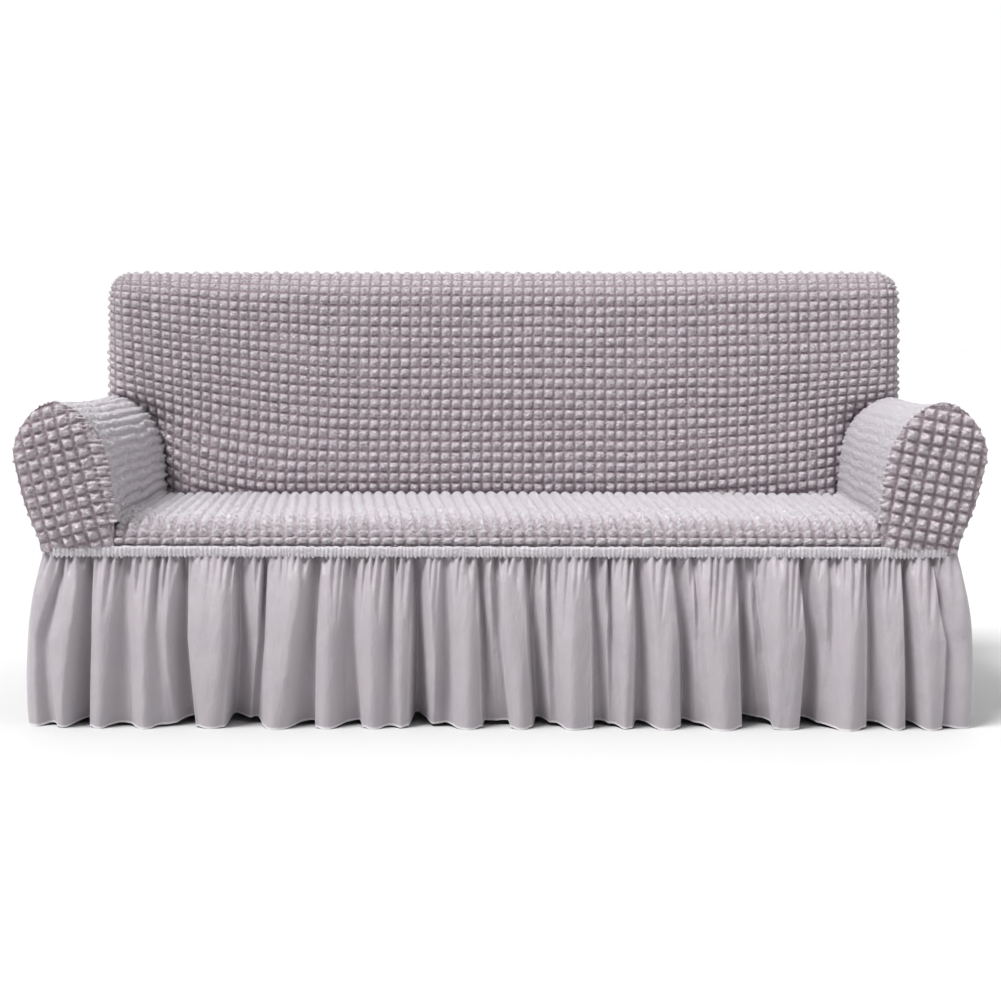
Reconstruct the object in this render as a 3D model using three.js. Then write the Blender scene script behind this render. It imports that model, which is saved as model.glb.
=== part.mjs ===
// A fitted stretch slipcover for a three-seat sofa with rolled arms, shown as it
// sits on the sofa, which is left out: bubbled panels over the seat, back and
// arms, a gathered elastic band round the base, and a full skirt that hangs from
// the band to the floor.
// Millimetres, +Z up, the front of the sofa towards -Y. The origin is on the floor
// under the middle of the cover.
import * as THREE from 'three';

// ---- Driving sizes -------------------------------------------------------

const CLOTH = 2;            // thickness of the bubbled stretch cloth
const SKIRT_CLOTH = 1.6;    // thickness of the plain skirt cloth
const ELASTIC = 3;          // thickness of the gathered band
const SEAM = 0.3;           // gap between neighbouring pieces
const CLEAR = 2;            // gap where one piece passes another's edge

const FRONT = -428;         // plane of the arm fronts and the seat's front drop
const REAR = 428;           // plane of the outside back at the band
const BASE_HALF = 948;      // half the width over the base, at the band
const BASE_CORNER = 40;     // radius of the base's upright corners

const BAND_TOP = 377;
const BAND_FOOT = 358;
const SEAT_HEIGHT = 431;
const ARM_TOP = 677;
const BACK_TOP = 950;

const ARM_INNER = { left: 793, right: 784 };  // seat edge, from the middle plane
const ARM_OUTER = 1003;                       // fullest part of the rolled arm
const ARM_DROP = 18;        // how much lower the arm is where it meets the back
const ARM_SAG = 6;          // dip of the arm's cloth halfway along
const ARM_PUFF = 12;        // how far the arm front swells
const ROLL_LOSS = 0.6;      // share of the roll's overhang that is lost at the rear corner

const BACK_HALF = 946;      // half the width of the back above the arms
const BACK_FOOT = 148;      // where the inside back meets the seat
const BACK_LEAN = 0.19;     // rise of the inside back's slope, mm per mm
const BACK_REAR = 410;      // plane of the outside back at its top
const REAR_CORNER = 30;     // radius of the upright rear corners below the arms' level
const BACK_EDGE = 60;       // radius of the back's rounded edges and corners
const SIDE_FOOT = { inside: 641, outside: 655 };  // lowest edges of the back's side panels

const HEM = 0.3;            // height of the hem's lowest points
const SKIRT_LIFT = 0.2;     // rise of the hem for each mm that a fold lies back
const CREST = 0.16;         // swell of a fold for each mm of its width
const CREST_MOST = 12;      // the most that a fold swells
const SEAM_SWELL = 6;       // swell of the skirt at the seams between its lengths

// ---- Small helpers -------------------------------------------------------

const table = (columns, rows) =>
  rows.map(row => Object.fromEntries(columns.map((name, i) => [name, row[i]])));

const lerp = THREE.MathUtils.lerp;
const smooth = THREE.MathUtils.smoothstep;
const steps = (count, from = 0, to = 1) =>
  Array.from({ length: count + 1 }, (_, i) => lerp(from, to, i / count));

// Straight-line reading of a table column by the value of another one.
function read(rows, key, column, value) {
  const last = rows.length - 1;
  if (value <= rows[0][key]) return rows[0][column];
  for (let i = 0; i < last; i++) {
    const [a, b] = [rows[i], rows[i + 1]];
    if (value <= b[key]) return lerp(a[column], b[column], (value - a[key]) / (b[key] - a[key]));
  }
  return rows[last][column];
}

// A sheet of cloth: a grid of points on its middle surface, thickened half each
// way along the grid's normals and closed round its rim. A ring's last column
// joins its first. Points that carry a normal of their own keep it.
function sheet(rows, thickness, ring = false) {
  const high = rows.length;
  const wide = rows[0].length;
  const at = (i, j) => rows[i][ring ? (j + wide) % wide : THREE.MathUtils.clamp(j, 0, wide - 1)];
  // Half-way between the normals of the cloth above and below a point.
  const normalAt = (i, j) => {
    const across = at(i, j + 1).clone().sub(at(i, j - 1));
    const normal = new THREE.Vector3();
    for (const row of [i - 1, i].filter(k => k >= 0 && k < high - 1)) {
      const down = at(row + 1, j).clone().sub(at(row, j));
      normal.add(down.cross(across).normalize());
    }
    return normal.normalize();
  };
  const points = [];
  for (const side of [0.5, -0.5]) {
    for (let i = 0; i < high; i++) {
      for (let j = 0; j < wide; j++) {
        const normal = at(i, j).normal ?? normalAt(i, j);
        points.push(at(i, j).clone().addScaledVector(normal, side * thickness));
      }
    }
  }
  const under = high * wide;
  const index = [];
  const quad = (a, b, c, d) => index.push(a, b, c, a, c, d);
  const columns = ring ? wide : wide - 1;
  for (let i = 0; i < high - 1; i++) {
    for (let j = 0; j < columns; j++) {
      const k = (j + 1) % wide;
      const [a, b, c, d] = [i * wide + j, i * wide + k, (i + 1) * wide + k, (i + 1) * wide + j];
      quad(a, b, c, d);
      quad(under + a, under + d, under + c, under + b);
    }
  }
  for (let j = 0; j < columns; j++) {
    const k = (j + 1) % wide;
    const foot = (high - 1) * wide;
    quad(k, j, under + j, under + k);
    quad(foot + j, foot + k, under + foot + k, under + foot + j);
  }
  if (!ring) {
    for (let i = 0; i < high - 1; i++) {
      const [a, b] = [i * wide, (i + 1) * wide];
      const [c, d] = [a + wide - 1, b + wide - 1];
      quad(a, b, under + b, under + a);
      quad(d, c, under + c, under + d);
    }
  }
  const geometry = new THREE.BufferGeometry();
  geometry.setAttribute('position', new THREE.Float32BufferAttribute(points.flatMap(p => p.toArray()), 3));
  geometry.setIndex(index);
  return facingOut(geometry);
}

// Turns every triangle round when the closed shape encloses a negative volume.
function facingOut(geometry) {
  const position = geometry.getAttribute('position');
  const corner = k => new THREE.Vector3().fromBufferAttribute(position, geometry.index.getX(k));
  let volume = 0;
  for (let k = 0; k < geometry.index.count; k += 3) {
    volume += corner(k).dot(corner(k + 1).cross(corner(k + 2)));
  }
  if (volume < 0) geometry.index.array.reverse();
  geometry.computeVertexNormals();
  return geometry;
}

// ---- Materials -----------------------------------------------------------

const BUBBLED = { color: 0xc9c1cb, roughness: 0.85, metalness: 0 };
const GATHERED = { color: 0xd8d2d8, roughness: 0.9, metalness: 0 };
const PLAIN = { color: 0xbdb6be, roughness: 0.8, metalness: 0 };

const cover = new THREE.Group();

function add(name, geometry, look) {
  const mesh = new THREE.Mesh(geometry, new THREE.MeshStandardMaterial(look));
  mesh.name = name;
  cover.add(mesh);
}

// ---- The arm's section, shared by the arm and its front ------------------

// From the seat's edge, up the inside, over the roll and down to the band.
const ARM_SECTION = table(['out', 'height'], [
  [0, 433], [3, 480], [10, 540], [22, 585], [42, 622], [68, 650], [96, 669],
  [126, 677], [152, 672], [178, 655], [200, 628], [215, 600], [221, 572],
  [217, 545], [208, 505], [198, 465], [186, 433], [174, 405], [165, 379],
]);

const armCurve = new THREE.CatmullRomCurve3(
  ARM_SECTION.map(row => new THREE.Vector3(row.out, row.height, 0)));

const SIGN = { left: -1, right: 1 };

// Half-width of the section's point, measured from the middle plane.
function armHalf(side, out) {
  const fullest = Math.max(...ARM_SECTION.map(row => row.out));
  return ARM_INNER[side] + (out * (ARM_OUTER - ARM_INNER[side])) / fullest;
}

// How much the roll is lowered at a depth and height: it drops towards the back
// and sags between its two ends.
function armLowering(depth, height) {
  const along = THREE.MathUtils.clamp((depth - FRONT) / (BACK_FOOT - FRONT), 0, 1);
  const share = Math.max(0, (height - SEAT_HEIGHT) / (ARM_TOP - SEAT_HEIGHT));
  return share * (ARM_DROP * along + ARM_SAG * Math.sin(Math.PI * along));
}

// Half-width of the arm's outer face at a height and depth: behind the inside back
// the roll's overhang past the back's side is drawn in towards the rear corner.
function armOuterHalf(side, height, depth) {
  const outer = ARM_SECTION.slice(8).reverse();
  const raised = height + armLowering(depth, height);
  return drawnIn(armHalf(side, read(outer, 'height', 'out', raised)), depth);
}

function drawnIn(half, depth) {
  const overhang = Math.max(0, half - BACK_HALF - 2 * CLEAR);
  return half - overhang * ROLL_LOSS * smooth(depth, BACK_FOOT, REAR - REAR_CORNER);
}

// Inside back's plane at a height.
const insideBack = height => BACK_FOOT + (height - SEAT_HEIGHT) * BACK_LEAN;

// Outside back's plane at a height.
const outsideBack = height =>
  lerp(REAR, BACK_REAR, THREE.MathUtils.clamp((height - BAND_TOP) / (BACK_TOP - BAND_TOP), 0, 1));

// ---- Seat ----------------------------------------------------------------

// From the crease at the inside back, forward, and down to the band.
const SEAT_SECTION = table(['depth', 'height'], [
  [BACK_FOOT - 3, 434], [56, 432], [-154, 431], [-294, 430.5], [-354, 429],
  [-389, 424], [-411, 413], [-423, 399], [-427, 388], [-427, BAND_TOP + SEAM],
]);
const SEAT_CROWN = 4;       // how much the middle stands above the two ends

function seat() {
  const edge = CLOTH / 2 + SEAM;
  const [left, right] = [edge - ARM_INNER.left, ARM_INNER.right - edge];
  const rows = SEAT_SECTION.map(({ depth, height }) =>
    steps(10).map(u => {
      const level = smooth(height, BAND_TOP, SEAT_HEIGHT);
      const crown = SEAT_CROWN * level * (Math.sin(Math.PI * u) - 0.5);
      return new THREE.Vector3(lerp(left, right, u), depth, height + crown);
    }));
  return sheet(rows, CLOTH);
}

add('seat', seat(), BUBBLED);

// ---- Inside back and outside back ----------------------------------------

// Depth of the back's rounded slab at a height, where the cloth has turned by
// these angles round its side and top edges. face is -1 inside and 1 outside.
function backDepth(face, height, turnSide, turnTop) {
  const middle = (insideBack(height) + outsideBack(height)) / 2;
  const deep = (outsideBack(height) - insideBack(height)) / 2 - SEAM_HALF;
  return middle + face * (SEAM_HALF + deep * Math.cos(turnSide) * Math.cos(turnTop));
}

// A point on the slab's rounded edges: both turns together make a round corner.
function backEdgePoint(face, height, turnSide, turnTop) {
  const side = Math.sin(turnSide);
  const top = Math.sin(turnTop);
  const x = BACK_HALF - BACK_EDGE + BACK_EDGE * side * Math.sqrt(1 - (top * top) / 2);
  const z = turnTop > 0
    ? BACK_TOP - BACK_EDGE + BACK_EDGE * top * Math.sqrt(1 - (side * side) / 2)
    : height;
  return { x, y: backDepth(face, z, turnSide, turnTop), z };
}

const QUARTER = Math.PI / 2;
const EDGE_STEPS = 5;
const FLAT_STEPS = 6;
const SEAM_HALF = 1;                 // each face stops this far short of the seam
const SIDE_RISE = 15;                // rise of the cloth's lower edge round the side

// Rows run from the foot to the top seam, columns from the left seam to the right.
// Below the arms' level lowEdge gives the edge of the cloth in place of the seam,
// and above it the cloth's lower edge rises by SIDE_RISE on its way round to the seam.
function backSheet(face, foot, heights, lowEdge, riseSteps) {
  const levels = [
    ...[...heights, foot, ...steps(riseSteps, foot, foot + SIDE_RISE).slice(1)]
      .sort((a, b) => a - b)
      .map(height => ({ height, turn: 0 })),
    ...steps(EDGE_STEPS, 0, QUARTER).map(turn => ({ height: BACK_TOP - BACK_EDGE, turn })),
  ];
  const turns = steps(EDGE_STEPS, QUARTER, 0);
  const rows = levels.map(({ height, turn }) => {
    const risen = Math.min(1, (height - foot) / SIDE_RISE);
    const half = side => {
      const low = turn === 0 && height <= foot;
      const edge = turns.map(angle =>
        (low ? lowEdge(side, height, angle) : backEdgePoint(face, height, angle * risen, turn)));
      const { x, z } = edge[EDGE_STEPS];
      const flat = steps(FLAT_STEPS, 1, 0).slice(1)
        .map(u => ({ x: x * u, y: backDepth(face, z, 0, turn), z }));
      return [...edge, ...flat].map(p => new THREE.Vector3(SIGN[side] * p.x, p.y, p.z));
    };
    return [...half('left'), ...half('right').reverse().slice(1)];
  });
  return sheet(rows, CLOTH);
}

// Below the arms' level the inside back is trimmed to the arm's inner line.
function insideEdge(side, height, angle) {
  const raised = height + armLowering(BACK_FOOT, height);
  const inner = ARM_SECTION.slice(0, 8);
  const half = armHalf(side, read(inner, 'height', 'out', raised)) - CLOTH / 2 - SEAM;
  const x = half - BACK_EDGE * (1 - angle / QUARTER);
  return { x, y: insideBack(height), z: height };
}

// Below the arms' level the outside back turns an upright corner to meet the arm.
function outsideEdge(side, height, angle) {
  const y = outsideBack(height) - REAR_CORNER;
  const x = armOuterHalf(side, height, y) - REAR_CORNER;
  return {
    x: x + REAR_CORNER * Math.sin(angle),
    y: y + REAR_CORNER * Math.cos(angle),
    z: height,
  };
}

const INSIDE_LEVELS = [436, 500, 560, 600, 625, 710, 780, 850];
const OUTSIDE_LEVELS = [BAND_TOP + 2 * SEAM, 450, 530, 590, 625, 720, 800];

add('inside_back', backSheet(-1, SIDE_FOOT.inside, INSIDE_LEVELS, insideEdge, EDGE_STEPS), BUBBLED);
add('outside_back', backSheet(1, SIDE_FOOT.outside, OUTSIDE_LEVELS, outsideEdge, 1), BUBBLED);

// ---- Arms ----------------------------------------------------------------

// Depth where the arm's cloth ends: at the inside back, at the back's rounded
// side edge, or at the rear corner where it lies outside the back.
const PAST_BACK = BACK_HALF + 2 * CLEAR;
const OUTER_SHARE = 0.6;    // the section's last part faces outwards all along

function armEnd(half, height, share) {
  if (half > PAST_BACK || share > OUTER_SHARE) return outsideBack(height) - REAR_CORNER - SEAM;
  const past = Math.max(0, half - BACK_HALF + BACK_EDGE) / (BACK_EDGE + 2 * CLEAR);
  return backDepth(-1, height - ARM_DROP, Math.asin(past), 0) - 3 * CLEAR;
}

// A point of the arm's surface: share runs round the section from the seat to the
// band.
function armSurface(side, share, depth) {
  const { x: out, y: height } = armCurve.getPointAt(share);
  const half = drawnIn(armHalf(side, out), depth);
  return new THREE.Vector3(SIGN[side] * half, depth, height - armLowering(depth, height));
}

// The same with its normal, along from the front to where the cloth ends.
function armPoint(side, share, along) {
  const { x: out, y: height } = armCurve.getPointAt(share);
  const depth = lerp(FRONT + SEAM, armEnd(armHalf(side, out), height, share), along);
  const point = armSurface(side, share, depth);
  const step = 0.002;
  const round = armSurface(side, Math.min(1, share + step), depth)
    .sub(armSurface(side, Math.max(0, share - step), depth));
  const back = armSurface(side, share, depth + 1).sub(armSurface(side, share, depth - 1));
  point.normal = back.cross(round).normalize();
  return point;
}

// Share of the section where its top reaches a half-width.
function shareWhere(side, half) {
  let [low, high] = [0.3, OUTER_SHARE];
  for (let i = 0; i < 24; i++) {
    const share = (low + high) / 2;
    if (armHalf(side, armCurve.getPointAt(share).x) < half) low = share;
    else high = share;
  }
  return low;
}

// Rows follow the section, with closer ones where the cloth turns past the back.
function arm(side) {
  const turning = [-26, -14, -6, -0.2, 0.2].map(off => shareWhere(side, PAST_BACK + off));
  const even = steps(24).filter(share => turning.every(other => Math.abs(share - other) > 0.012));
  const shares = [...even, ...turning].sort((a, b) => a - b);
  return sheet(shares.map(share => steps(9).map(along => armPoint(side, share, along))), CLOTH);
}

// The arm front: rows run up from the band, each from the section's inner line to
// its outer line, and the middle swells forward.
function armFront(side) {
  const inner = ARM_SECTION.slice(0, 8);
  const outer = ARM_SECTION.slice(7).reverse();
  const heights = [BAND_TOP + SEAM, ...steps(10, 400, 640), 655, 666, 673, ARM_TOP - 1];
  const rows = heights.map(height => {
    const from = armHalf(side, read(inner, 'height', 'out', height)) + (height < SEAT_HEIGHT ? 0.8 : -1);
    const to = armHalf(side, read(outer, 'height', 'out', height)) + 1;
    return steps(6).map(u => {
      const swell = ARM_PUFF * Math.sin(Math.PI * u) ** 0.6 * smooth(ARM_TOP - height, -8, 70);
      return new THREE.Vector3(SIGN[side] * lerp(from, to, u), FRONT - 1.6 - swell, height);
    });
  });
  return sheet(rows, CLOTH);
}

for (const side of ['left', 'right']) {
  add(`arm_${side}`, arm(side), BUBBLED);
  add(`arm_front_${side}`, armFront(side), BUBBLED);
}

// ---- The base's outline, followed by the band and the skirt --------------

// Point and outward direction at a distance round the base, from the middle of
// the front towards +X, on an outline with round corners.
const WIDE = BASE_HALF - BASE_CORNER;
const DEEP = (REAR - FRONT) / 2 - BASE_CORNER;
const BEND = QUARTER * BASE_CORNER;
const LENGTHS = [WIDE, BEND, 2 * DEEP, BEND, 2 * WIDE, BEND, 2 * DEEP, BEND, WIDE];
const ROUND = LENGTHS.reduce((a, b) => a + b);

function base(distance) {
  let left = ((distance % ROUND) + ROUND) % ROUND;
  let [x, y, heading] = [0, FRONT, 0];
  for (const [i, length] of LENGTHS.entries()) {
    const run = Math.min(left, length);
    if (i % 2 === 0) {
      x += run * Math.cos(heading);
      y += run * Math.sin(heading);
    } else {
      const turn = run / BASE_CORNER;
      x += BASE_CORNER * (Math.sin(heading + turn) - Math.sin(heading));
      y += BASE_CORNER * (Math.cos(heading) - Math.cos(heading + turn));
      heading += turn;
    }
    left -= run;
    if (left <= 0) break;
  }
  return { x, y, outX: Math.sin(heading), outY: -Math.cos(heading) };
}

// Where the middle of each side lies on that outline.
const SIDE_MIDDLE = {
  front: ROUND,
  right: WIDE + BEND + DEEP,
  back: 2 * (WIDE + BEND + DEEP),
  left: ROUND - (WIDE + BEND + DEEP),
};

function onBase(distance, out, height) {
  const p = base(distance);
  return new THREE.Vector3(p.x + p.outX * out, p.y + p.outY * out, height);
}

// ---- Elastic band --------------------------------------------------------

const BAND_SWELL = 1.5;

function band() {
  const turns = [];
  let start = 0;
  for (const [i, length] of LENGTHS.entries()) {
    const count = i % 2 === 0 ? 3 : 4;
    turns.push(...steps(count, start, start + length).slice(0, -1));
    start += length;
  }
  const rows = [[BAND_TOP, 0], [(BAND_TOP + BAND_FOOT) / 2, BAND_SWELL], [BAND_FOOT, 0]];
  return sheet(rows.map(([height, out]) => turns.map(d => onBase(d, out, height))), ELASTIC, true);
}

add('elastic_band', band(), GATHERED);

// ---- Skirt ---------------------------------------------------------------

// Folds that fall back between the skirt's tubes, from left to right along each
// side. band, middle and hem are the fold's place from the middle of that side,
// reach is its half-width at the hem, top and deep are its depth at the band and
// the hem, and drawn is how far its foot leans under the tube beside it.
const FOLD = ['band', 'middle', 'hem', 'reach', 'top', 'deep', 'drawn'];

const FRONT_FOLDS = table(FOLD, [
  [-904, -932, -932, 13, 10, 18, -5],
  [-844, -852, -866, 20, 22, 34, 10],
  [-773, -778, -788, 24, 18, 16, 0],
  [-707, -707, -697, 16, 4, 7, 0],
  [-648, -654, -646, 22, 20, 42, 8],
  [-538, -532, -545, 30, 18, 52, -10],
  [-484, -488, -503, 9, 16, 14, 0],
  [-371, -388, -398, 24, 18, 26, 10],
  [-298, -303, -298, 22, 14, 28, 4],
  [-220, -224, -224, 13, 16, 8, 0],
  [-170, -168, -170, 21, 22, 56, -4],
  [-110, -107, -112, 18, 12, 20, 0],
  [-40, -30, -22, 15, 18, 26, -6],
  [-3, 1, 14, 15, 14, 26, 4],
  [59, 71, 86, 20, 16, 36, -6],
  [103, 109, 123, 10, 12, 10, 0],
  [193, 203, 208, 18, 16, 28, -6],
  [229, 233, 243, 8, 12, 6, 0],
  [284, 292, 292, 20, 18, 30, -4],
  [362, 383, 393, 21, 16, 32, -8],
  [405, 414, 425, 9, 10, 5, 0],
  [497, 507, 520, 20, 18, 50, -8],
  [521, 542, 559, 13, 14, 24, 6],
  [625, 645, 639, 22, 18, 40, -8],
  [687, 687, 684, 13, 8, 6, 0],
  [763, 769, 775, 19, 18, 28, -5],
  [833, 843, 854, 16, 20, 32, -8],
  [896, 922, 922, 11, 10, 14, -5],
]);

const SIDE_FOLDS = table(FOLD, [
  [-340, -350, -356, 17, 12, 26, 5],
  [-250, -242, -236, 21, 16, 36, -6],
  [-156, -162, -168, 14, 12, 16, 0],
  [-62, -58, -50, 23, 18, 38, 6],
  [38, 44, 50, 19, 16, 28, -6],
  [128, 122, 118, 14, 12, 14, 0],
  [214, 222, 230, 22, 18, 36, 6],
  [346, 350, 352, 18, 14, 26, -5],
]);

const BACK_FOLDS = table(FOLD, [
  [-866, -872, -876, 20, 16, 28, 4],
  [-752, -760, -766, 22, 18, 36, -6],
  [-660, -654, -648, 15, 12, 16, 0],
  [-566, -572, -580, 23, 18, 38, 6],
  [-470, -462, -456, 19, 16, 28, -4],
  [-362, -368, -376, 22, 18, 36, 6],
  [-276, -270, -264, 14, 12, 14, 0],
  [-178, -184, -192, 23, 18, 40, -6],
  [-84, -78, -70, 18, 14, 26, 4],
  [22, 16, 10, 22, 18, 36, -6],
  [112, 118, 122, 14, 12, 16, 0],
  [206, 200, 196, 23, 18, 38, 6],
  [304, 310, 316, 18, 16, 28, -5],
  [404, 398, 392, 22, 18, 36, 6],
  [492, 498, 504, 14, 12, 14, 0],
  [586, 592, 600, 23, 18, 38, -6],
  [690, 684, 678, 18, 14, 26, 4],
  [786, 792, 798, 22, 18, 34, -5],
  [878, 872, 868, 16, 12, 22, 4],
]);

// Hang of the skirt's side: how far it stands out at each height.
const HANG = table(['height', 'out'], [
  [0, 27], [30, 31], [105, 34], [186, 32], [227, 29], [268, 23], [319, 12], [BAND_FOOT, 0],
]);

const MIDDLE_HEIGHT = 186;

// A fold's place along its side, half-width, depth and lean at a height.
function foldAt(fold, height) {
  const place = height < MIDDLE_HEIGHT
    ? lerp(fold.hem, fold.middle, height / MIDDLE_HEIGHT)
    : lerp(fold.middle, fold.band, (height - MIDDLE_HEIGHT) / (BAND_FOOT - MIDDLE_HEIGHT));
  const fallen = 1 - height / BAND_FOOT;
  return {
    place,
    reach: fold.reach * lerp(0.45, 1, fallen),
    depth: lerp(fold.top, fold.deep, fallen),
    drawn: fold.drawn * fallen,
  };
}

// Distances along one fold's section, in reaches, with the share of its depth.
const FOLD_SECTION = table(['from', 'share'], [[-1, 0], [-0.5, 0.5], [0, 1], [0.5, 0.5], [1, 0]]);

// One length of the skirt, seamed at its two ends to the next ones. Between its
// folds the cloth swells forward in tubes.
function skirtLength(side, folds, run) {
  const end = run - SEAM / 2;
  const heights = [BAND_FOOT - SEAM - SKIRT_CLOTH / 2, 318, 250, 125, HEM];
  const rows = heights.map(height => {
    const out = read(HANG, 'height', 'out', height);
    const fallen = 1 - height / BAND_FOOT;
    const point = (distance, inward, shift) => {
      const lift = height === HEM ? SKIRT_LIFT * Math.max(0, inward) : 0;
      return onBase(SIDE_MIDDLE[side] + distance + shift, out - inward, height + lift);
    };
    const seamed = distance => {
      const { outX, outY } = base(SIDE_MIDDLE[side] + distance);
      const edge = point(distance, -SEAM_SWELL * fallen, 0);
      edge.normal = new THREE.Vector3(outX, outY, 0);
      return edge;
    };
    const swell = width => Math.min(CREST_MOST, CREST * width) * lerp(0.3, 1, fallen);
    const placed = folds.map(fold => foldAt(fold, height));
    const edges = [-end, ...placed.flatMap(f => [f.place - f.reach, f.place + f.reach]), end];
    const tubes = placed.map((_, i) => edges[2 * i + 3] - edges[2 * i + 2]);
    const firstTube = edges[1] - edges[0];
    return [
      seamed(-end),
      point(-end + firstTube / 2, -swell(firstTube), 0),
      ...placed.flatMap((fold, i) => [
        ...FOLD_SECTION.map(({ from, share }) =>
          point(fold.place + from * fold.reach, share * fold.depth, share * fold.drawn)),
        point(fold.place + fold.reach + tubes[i] / 2, -swell(tubes[i]), 0),
      ]),
      seamed(end),
    ];
  });
  return sheet(rows, SKIRT_CLOTH);
}

// The front and back lengths turn the corners and meet the side ones past them.
add('skirt_front', skirtLength('front', FRONT_FOLDS, WIDE + BEND), PLAIN);
add('skirt_right', skirtLength('right', SIDE_FOLDS, DEEP), PLAIN);
add('skirt_back', skirtLength('back', BACK_FOLDS, WIDE + BEND), PLAIN);
add('skirt_left', skirtLength('left', SIDE_FOLDS, DEEP), PLAIN);

export default cover;
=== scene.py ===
import math

import bpy
import numpy as np
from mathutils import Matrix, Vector


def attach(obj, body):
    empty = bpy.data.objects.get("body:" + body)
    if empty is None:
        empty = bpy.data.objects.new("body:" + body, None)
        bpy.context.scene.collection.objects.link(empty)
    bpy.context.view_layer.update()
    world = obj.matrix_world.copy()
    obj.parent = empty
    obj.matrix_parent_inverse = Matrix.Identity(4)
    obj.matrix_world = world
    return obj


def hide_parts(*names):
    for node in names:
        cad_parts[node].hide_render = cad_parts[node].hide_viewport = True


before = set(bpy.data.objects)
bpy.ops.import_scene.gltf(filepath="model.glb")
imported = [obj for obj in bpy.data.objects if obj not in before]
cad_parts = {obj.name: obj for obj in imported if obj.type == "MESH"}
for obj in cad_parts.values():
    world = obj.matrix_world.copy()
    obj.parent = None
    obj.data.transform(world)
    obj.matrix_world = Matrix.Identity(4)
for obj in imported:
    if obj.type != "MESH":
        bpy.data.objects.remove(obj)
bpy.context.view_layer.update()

# ---- Camera, light and floor ---------------------------------------------
# A plain pale studio: a long lens a little below the back's top, a key light high at
# the front left, weaker and softer ones from the right and from behind, and a dim
# surround with a white wall behind.

PIXELS = 1001
FOCAL_PIXELS = 2070
SENSOR = 36
CAMERA_PLACE = (0.057, -4.668, 0.890)
CAMERA_TILT = 84.39         # degrees up from looking straight down
CAMERA_TURN = 0.72          # degrees to the left

camera = bpy.data.objects.new("camera", bpy.data.cameras.new("camera"))
camera.data.sensor_width = SENSOR
camera.data.lens = SENSOR * FOCAL_PIXELS / PIXELS
camera.location = CAMERA_PLACE
camera.rotation_euler = (math.radians(CAMERA_TILT), 0, math.radians(CAMERA_TURN))
bpy.context.scene.collection.objects.link(camera)
bpy.context.scene.camera = camera
bpy.context.scene.view_settings.view_transform = "Standard"


def soft_sun(name, way, spread, strength):
    """An even light that comes from that direction, spread over an angle in degrees."""
    light = bpy.data.objects.new(name, bpy.data.lights.new(name, "SUN"))
    light.data.angle = math.radians(spread)
    light.data.energy = strength
    light.rotation_euler = Vector(way).to_track_quat("Z", "Y").to_euler()
    bpy.context.scene.collection.objects.link(light)


soft_sun("key", (-0.42, -0.34, 0.84), 24, 4.3)
soft_sun("fill", (0.66, -0.20, 0.70), 60, 1.0)
soft_sun("rear", (0.0, 0.60, 0.80), 80, 1.4)

WALL_EDGE = (0.80, 0.95)    # how nearly straight back a ray runs, for dim and for white
GLOW = (0.25, 1.0)          # strength of the surround and of the wall
WHITE = (1, 1, 1, 1)

surround = bpy.data.worlds.new("white_surround")
bpy.context.scene.world = surround
surround.use_nodes = True
nodes = surround.node_tree.nodes
facing = nodes.new("ShaderNodeTexCoord")
parts = nodes.new("ShaderNodeSeparateXYZ")
behind = nodes.new("ShaderNodeMapRange")
behind.inputs["From Min"].default_value, behind.inputs["From Max"].default_value = WALL_EDGE
behind.inputs["To Min"].default_value, behind.inputs["To Max"].default_value = GLOW
links = surround.node_tree.links
links.new(facing.outputs["Generated"], parts.inputs[0])
links.new(parts.outputs["Y"], behind.inputs["Value"])
links.new(behind.outputs[0], nodes["Background"].inputs["Strength"])
nodes["Background"].inputs["Color"].default_value = WHITE

FLOOR_HALF = 30
FLOOR_WHITE = (0.53, 0.53, 0.53, 1)
FLOOR_ROUGHNESS = 0.9

floor_mesh = bpy.data.meshes.new("floor")
corners = [(FLOOR_HALF * x, FLOOR_HALF * y, 0) for x, y in ((-1, -1), (1, -1), (1, 1), (-1, 1))]
floor_mesh.from_pydata(corners, [], [(0, 1, 2, 3)])
floor = bpy.data.objects.new("floor", floor_mesh)
bpy.context.scene.collection.objects.link(floor)
floor_paint = bpy.data.materials.new("white_floor")
floor_paint.use_nodes = True
shader = floor_paint.node_tree.nodes["Principled BSDF"]
shader.inputs["Base Color"].default_value = FLOOR_WHITE
shader.inputs["Roughness"].default_value = FLOOR_ROUGHNESS
floor_mesh.materials.append(floor_paint)

# ---- Inside back ---------------------------------------------------------
# The front of the back: a panel of stretch jersey that lines of elastic pucker into
# small raised squares. It turns over the back's rounded top and sides, where it is
# sewn to the outside back, and its rows are pulled up towards the arms.

BACK_HALF = 0.946
BACK_TOP = 0.950
BACK_EDGE = 0.060           # radius of the back's rounded edges
EDGE_DEPTH = 0.100          # half the back's thickness, which its edges turn through
BACK_LEAN = 0.19            # how far the inside back leans for each unit of height
BACK_FOOT = 0.148           # its depth at the seat
SEAT_HEIGHT = 0.431
FRONT = -0.428              # depths of the base's front and rear
REAR = 0.428
REAR_TOP = 0.410            # depth of the outside back at its top
BAND_TOP = 0.377


def inside_back_at(z):
    """Depth of the inside back's plane: its depth at the seat, plus the lean times the
    height above the seat."""
    return BACK_FOOT + (z - SEAT_HEIGHT) * BACK_LEAN


def outside_back_at(z):
    """Depth of the outside back's plane: straight from the band up to the top."""
    share = np.clip((z - BAND_TOP) / (BACK_TOP - BAND_TOP), 0, 1)
    return REAR + (REAR_TOP - REAR) * share


def smooth(value, low, high):
    """0 below low, 1 above high, and 3t2 - 2t3 between them."""
    t = np.clip((value - low) / (high - low), 0, 1)
    return t * t * (3 - 2 * t)


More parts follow.
